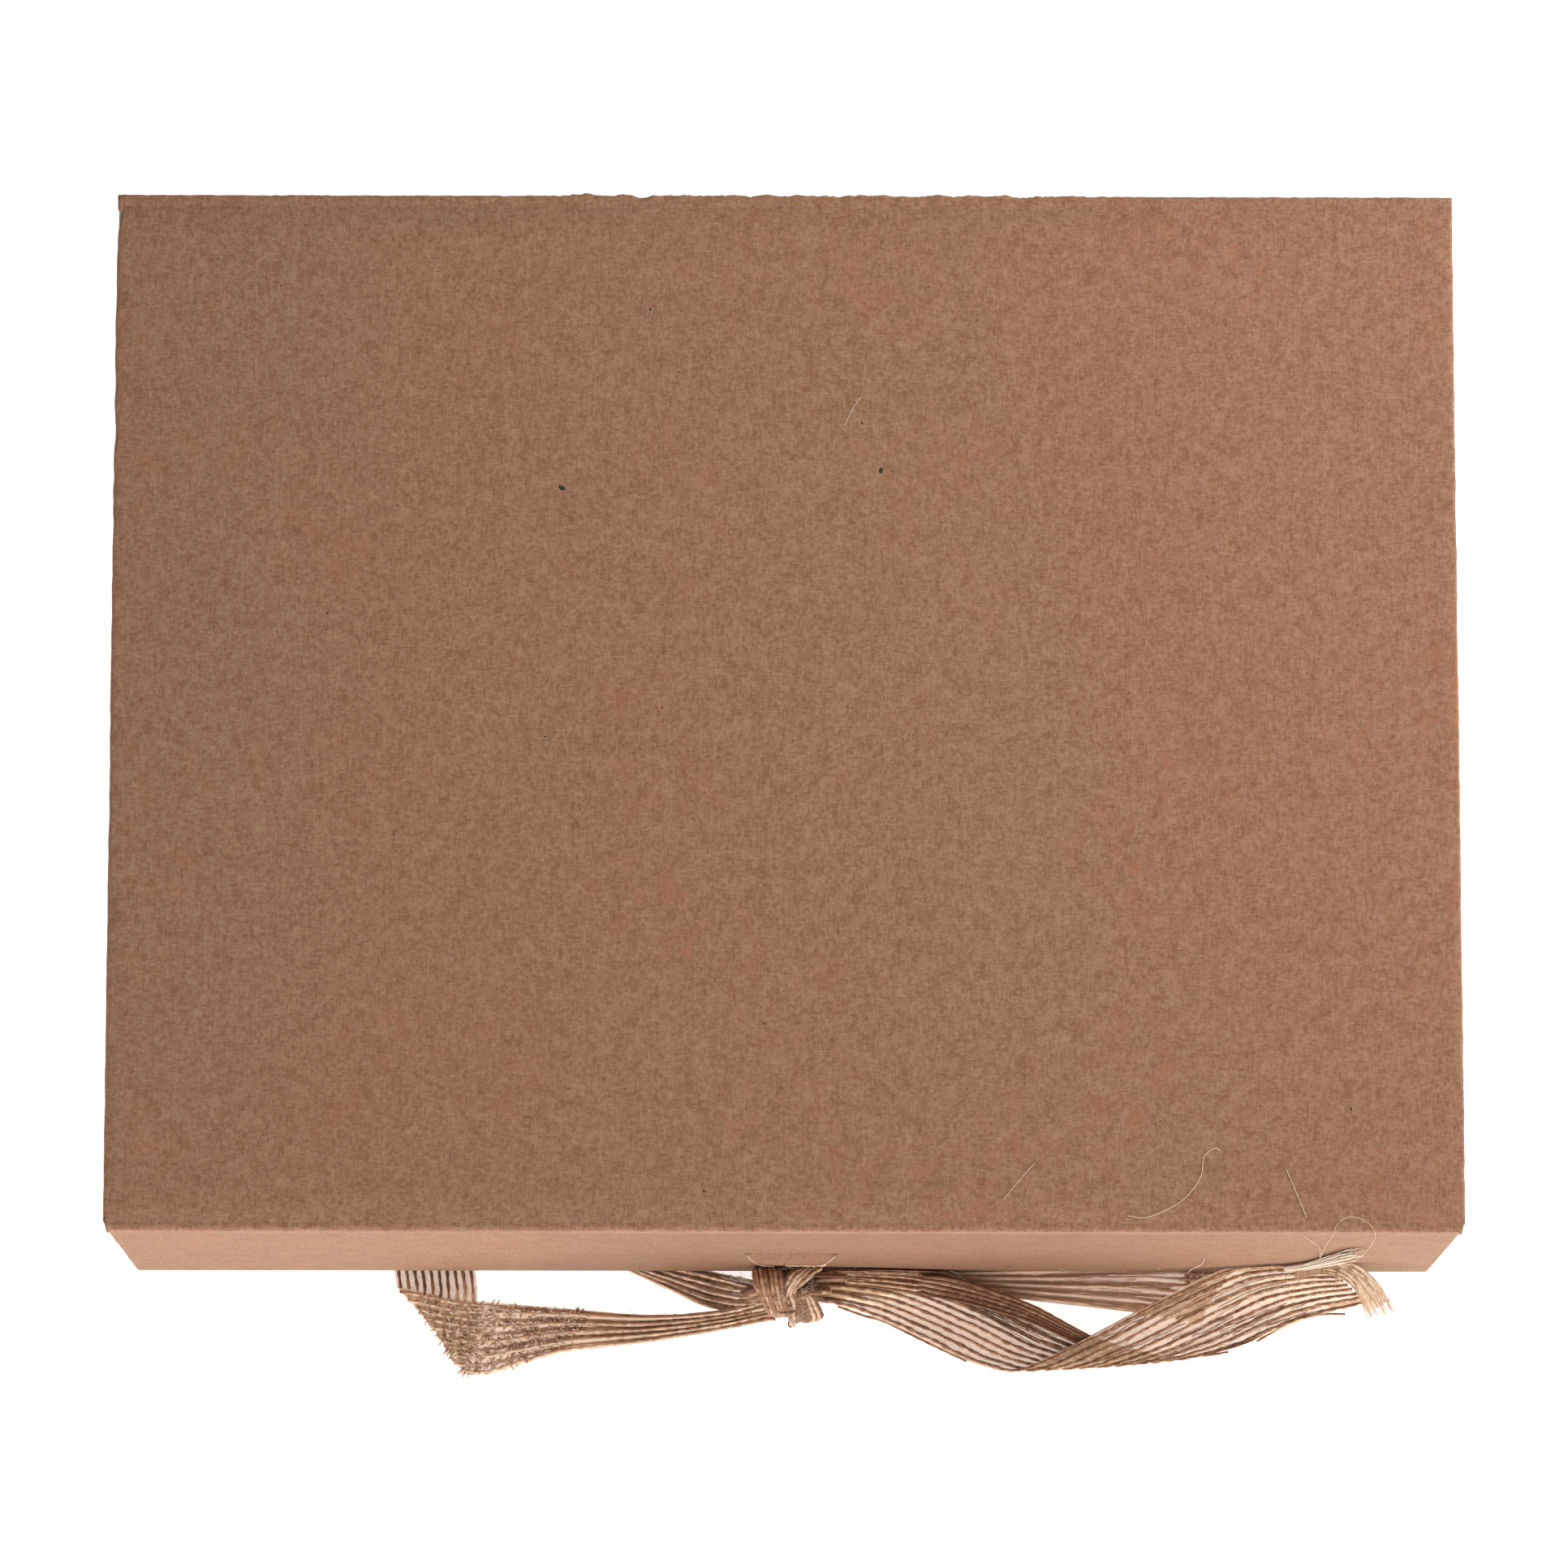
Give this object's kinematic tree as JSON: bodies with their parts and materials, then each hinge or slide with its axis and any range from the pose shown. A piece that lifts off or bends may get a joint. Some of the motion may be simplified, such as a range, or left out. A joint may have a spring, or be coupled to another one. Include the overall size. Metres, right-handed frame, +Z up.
{
  "type": "gift box",
  "caption": "Kraft-covered rigid gift box, book style: shallow tray, lid folding at the spine, front flap with a die-cut tongue, held shut by a tied jute and sheer ribbon.",
  "frame": {"origin": "on the underside of the box, in the middle of its width, halfway between the flap's outer face and the spine", "axes": "+X to the right of someone facing the flap, -Y out of the flap, +Z up"},
  "size_m": [0.26, 0.2245, 0.07],
  "materials": {
    "greyboard": "raw greyboard, matt, seen only at cut edges",
    "kraft": "unbleached kraft paper, matt, fibrous",
    "kraft_lining": "unbleached kraft paper, matt, smooth",
    "ribbon": "jute yarns with sheer strips between them"
  },
  "bodies": {
    "base": {"bottom_board": "greyboard", "spine_board": "greyboard", "cover_paper_base": "kraft", "tray_floor_board": "greyboard", "tray_front_wall": "greyboard", "tray_back_wall": "greyboard", "tray_left_wall": "greyboard", "tray_right_wall": "greyboard", "corner_stays": "kraft", "tray_wrap": "kraft", "tray_wall_lining": "kraft_lining", "tray_floor_lining": "kraft_lining", "ribbon_left_anchor": "ribbon", "ribbon_right_anchor": "ribbon", "ribbon_left_strand": "ribbon", "ribbon_right_strand": "ribbon", "ribbon_knot": "ribbon", "ribbon_long_tail": "ribbon", "ribbon_short_tail": "ribbon"},
    "lid": {"back_hinge_paper": "kraft", "lid_board": "greyboard", "cover_paper_lid": "kraft", "lid_lining": "kraft_lining", "front_hinge_paper": "kraft"},
    "flap": {"flap_board": "greyboard", "cover_paper_flap": "kraft", "flap_lining": "kraft_lining", "flap_ribbon": "ribbon"},
    "tongue": {"flap_tongue": "kraft"}
  },
  "joints": [
    {"name": "lid_hinge", "type": "hinge", "parent": "base", "child": "lid", "pos_m": [0, 0.1015, 0.07], "axis": [-1, 0, 0], "range_deg": [0, 180], "deforming": ["ribbon_knot"]},
    {"name": "flap_hinge", "type": "hinge", "parent": "lid", "child": "flap", "pos_m": [0, -0.1015, 0.07], "axis": [-1, 0, 0], "range_deg": [0, 90], "deforming": ["ribbon_knot"]},
    {"name": "tongue_hinge", "type": "hinge", "parent": "flap", "child": "tongue", "pos_m": [0.0015, -0.1015, 0.033], "axis": [-1, 0, 0], "range_deg": [0, 60]}
  ]
}
